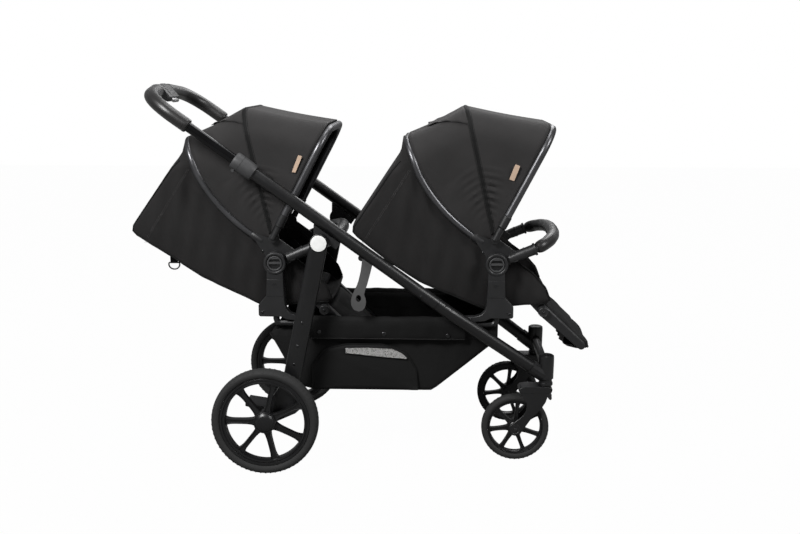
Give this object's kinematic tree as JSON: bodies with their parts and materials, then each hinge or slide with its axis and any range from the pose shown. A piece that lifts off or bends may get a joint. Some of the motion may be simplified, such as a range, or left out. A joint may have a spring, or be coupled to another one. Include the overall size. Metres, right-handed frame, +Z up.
{
  "type": "tandem stroller",
  "caption": "Tandem double stroller: two tilting canopied seats in line on a folding black frame, swivel front casters, large rear wheels, basket and sliding handle.",
  "frame": {"origin": "on the ground under the middle of the overall length and width", "axes": "+X forward, +Y to the stroller's left, +Z up"},
  "size_m": [1.2826, 0.635, 1.037],
  "materials": {
    "black_fabric": "woven black",
    "black_paint": "satin black",
    "bright_steel": "brushed",
    "charcoal_plastic": "matt charcoal",
    "gloss_black": "gloss black",
    "grey_plastic": "matt dark grey",
    "grip_leatherette": "grained black",
    "tyre_rubber": "matt black",
    "white_plastic": "satin white"
  },
  "bodies": {
    "chassis": {"main_tube_right": "black_paint", "handle_collar_right": "grey_plastic", "pivot_plate_right": "charcoal_plastic", "caster_housing_right": "charcoal_plastic", "side_rail_right": "black_paint", "rear_bracket_right": "charcoal_plastic", "front_bracket_right": "charcoal_plastic", "main_tube_left": "black_paint", "handle_collar_left": "grey_plastic", "pivot_plate_left": "charcoal_plastic", "caster_housing_left": "charcoal_plastic", "side_rail_left": "black_paint", "rear_bracket_left": "charcoal_plastic", "front_bracket_left": "charcoal_plastic", "front_cross_tube": "black_paint", "rear_cross_bar": "black_paint", "front_cross_bar": "black_paint", "basket": "black_fabric"},
    "fold_strap": {"fold_strap": "grey_plastic"},
    "handle": {"handle_tube": "gloss_black", "handle_grip_right": "grip_leatherette", "handle_grip_left": "grip_leatherette", "lever_housing": "grey_plastic"},
    "handle_lever": {"handle_lever": "bright_steel"},
    "rear_frame": {"axle_beam": "charcoal_plastic", "rear_leg_right": "black_paint", "pivot_cap_right": "white_plastic", "rear_leg_left": "black_paint", "pivot_cap_left": "white_plastic"},
    "brake_pedal": {"brake_pedal": "grey_plastic"},
    "rear_wheel_right": {"rear_rim_right": "charcoal_plastic", "rear_tyre_right": "tyre_rubber"},
    "caster_right": {"caster_fork_right": "charcoal_plastic"},
    "front_wheel_right": {"front_rim_right": "charcoal_plastic", "front_tyre_right": "tyre_rubber"},
    "swivel_lock_right": {"swivel_lock_right": "grey_plastic"},
    "rear_wheel_left": {"rear_rim_left": "charcoal_plastic", "rear_tyre_left": "tyre_rubber"},
    "caster_left": {"caster_fork_left": "charcoal_plastic"},
    "front_wheel_left": {"front_rim_left": "charcoal_plastic", "front_tyre_left": "tyre_rubber"},
    "swivel_lock_left": {"swivel_lock_left": "grey_plastic"},
    "front_seat": {"front_seat_frame": "black_paint", "front_seat_shell": "black_fabric", "front_canopy_cover": "black_fabric"},
    "front_mid_bow": {"front_mid_bow": "black_paint"},
    "front_front_bow": {"front_front_bow": "gloss_black"},
    "front_bumper_bar": {"front_bumper_bar": "grip_leatherette"},
    "front_legrest": {"front_legrest": "black_fabric"},
    "front_button_right": {"front_button_right": "grey_plastic"},
    "front_button_left": {"front_button_left": "grey_plastic"},
    "rear_seat": {"rear_seat_frame": "black_paint", "rear_seat_shell": "black_fabric", "rear_canopy_cover": "black_fabric"},
    "rear_mid_bow": {"rear_mid_bow": "black_paint"},
    "rear_front_bow": {"rear_front_bow": "gloss_black"},
    "rear_bumper_bar": {"rear_bumper_bar": "grip_leatherette"},
    "rear_legrest": {"rear_legrest": "black_fabric"},
    "rear_button_right": {"rear_button_right": "grey_plastic"},
    "rear_button_left": {"rear_button_left": "grey_plastic"}
  },
  "joints": [
    {"name": "rear_fold", "type": "hinge", "parent": "chassis", "child": "rear_frame", "pos_m": [-0.10731, 0, 0.62598], "axis": [0, 1, 0], "range_deg": [0, 60]},
    {"name": "handle_extend", "type": "slide", "parent": "chassis", "child": "handle", "axis": [-0.8121, 0, 0.5835], "range_m": [-0.06, 0.04]},
    {"name": "handle_lever_pull", "type": "slide", "parent": "handle", "child": "handle_lever", "axis": [-0.8121, 0, 0.5835], "range_m": [0, 0.005], "stiffness_N_per_m": 400},
    {"name": "brake_pedal_press", "type": "hinge", "parent": "rear_frame", "child": "brake_pedal", "pos_m": [-0.25531, 0, 0.145], "axis": [0, 1, 0], "range_deg": [-18, 0]},
    {"name": "fold_strap_swing", "type": "hinge", "parent": "chassis", "child": "fold_strap", "pos_m": [-0.00487, -0.23, 0.57201], "axis": [0, 1, 0], "range_deg": [-40, 10]},
    {"name": "rear_wheel_spin_right", "type": "hinge", "parent": "rear_frame", "child": "rear_wheel_right", "pos_m": [-0.25531, -0.2935, 0.145], "axis": [0, 1, 0], "continuous": true},
    {"name": "caster_swivel_right", "type": "hinge", "parent": "chassis", "child": "caster_right", "pos_m": [0.50819, -0.165, 0.217], "axis": [0, 0, 1], "continuous": true},
    {"name": "front_wheel_spin_right", "type": "hinge", "parent": "caster_right", "child": "front_wheel_right", "pos_m": [0.42569, -0.165, 0.094], "axis": [0, 1, 0], "continuous": true},
    {"name": "swivel_lock_flip_right", "type": "hinge", "parent": "caster_right", "child": "swivel_lock_right", "pos_m": [0.50569, -0.165, 0.1914], "axis": [0, 1, 0], "range_deg": [0, 20]},
    {"name": "rear_wheel_spin_left", "type": "hinge", "parent": "rear_frame", "child": "rear_wheel_left", "pos_m": [-0.25531, 0.2935, 0.145], "axis": [0, 1, 0], "continuous": true},
    {"name": "caster_swivel_left", "type": "hinge", "parent": "chassis", "child": "caster_left", "pos_m": [0.50819, 0.165, 0.217], "axis": [0, 0, 1], "continuous": true},
    {"name": "front_wheel_spin_left", "type": "hinge", "parent": "caster_left", "child": "front_wheel_left", "pos_m": [0.42569, 0.165, 0.094], "axis": [0, 1, 0], "continuous": true},
    {"name": "swivel_lock_flip_left", "type": "hinge", "parent": "caster_left", "child": "swivel_lock_left", "pos_m": [0.50569, 0.165, 0.1914], "axis": [0, 1, 0], "range_deg": [0, 20]},
    {"name": "front_seat_tilt", "type": "hinge", "parent": "chassis", "child": "front_seat", "pos_m": [0.36569, 0, 0.56], "axis": [0, 1, 0], "range_deg": [0, 10]},
    {"name": "front_canopy_fold", "type": "hinge", "parent": "front_seat", "child": "front_mid_bow", "pos_m": [0.35969, 0, 0.626], "axis": [0, 1, 0], "range_deg": [-27, 0], "deforming": ["front_canopy_cover"]},
    {"name": "front_canopy_front_fold", "type": "hinge", "parent": "front_mid_bow", "child": "front_front_bow", "pos_m": [0.35969, 0, 0.626], "axis": [0, 1, 0], "range_deg": [-34, 0], "deforming": ["front_canopy_cover"]},
    {"name": "front_bumper_raise", "type": "hinge", "parent": "front_seat", "child": "front_bumper_bar", "pos_m": [0.41269, 0, 0.58], "axis": [0, 1, 0], "range_deg": [-45, 0]},
    {"name": "front_legrest_raise", "type": "hinge", "parent": "front_seat", "child": "front_legrest", "pos_m": [0.49669, 0, 0.425], "axis": [0, 1, 0], "range_deg": [-35, 0]},
    {"name": "front_button_press_right", "type": "slide", "parent": "chassis", "child": "front_button_right", "axis": [0, 1, 0], "range_m": [0, 0.003], "stiffness_N_per_m": 800},
    {"name": "front_button_press_left", "type": "slide", "parent": "chassis", "child": "front_button_left", "axis": [0, -1, 0], "range_m": [0, 0.003], "stiffness_N_per_m": 800},
    {"name": "rear_seat_tilt", "type": "hinge", "parent": "chassis", "child": "rear_seat", "pos_m": [-0.23531, 0, 0.56], "axis": [0, 1, 0], "range_deg": [-12, 3]},
    {"name": "rear_canopy_fold", "type": "hinge", "parent": "rear_seat", "child": "rear_mid_bow", "pos_m": [-0.24131, 0, 0.626], "axis": [0, 1, 0], "range_deg": [-27, 0], "deforming": ["rear_canopy_cover"]},
    {"name": "rear_canopy_front_fold", "type": "hinge", "parent": "rear_mid_bow", "child": "rear_front_bow", "pos_m": [-0.24131, 0, 0.626], "axis": [0, 1, 0], "range_deg": [-34, 0], "deforming": ["rear_canopy_cover"]},
    {"name": "rear_bumper_raise", "type": "hinge", "parent": "rear_seat", "child": "rear_bumper_bar", "pos_m": [-0.18831, 0, 0.58], "axis": [0, 1, 0], "range_deg": [-45, 0]},
    {"name": "rear_legrest_raise", "type": "hinge", "parent": "rear_seat", "child": "rear_legrest", "pos_m": [-0.10431, 0, 0.425], "axis": [0, 1, 0], "range_deg": [-35, 0]},
    {"name": "rear_button_press_right", "type": "slide", "parent": "chassis", "child": "rear_button_right", "axis": [0, 1, 0], "range_m": [0, 0.003], "stiffness_N_per_m": 800},
    {"name": "rear_button_press_left", "type": "slide", "parent": "chassis", "child": "rear_button_left", "axis": [0, -1, 0], "range_m": [0, 0.003], "stiffness_N_per_m": 800}
  ],
  "couplings": [
    {"joint": "front_canopy_front_fold", "follows": "front_canopy_fold", "ratio": 1.25},
    {"joint": "rear_canopy_front_fold", "follows": "rear_canopy_fold", "ratio": 1.25}
  ]
}
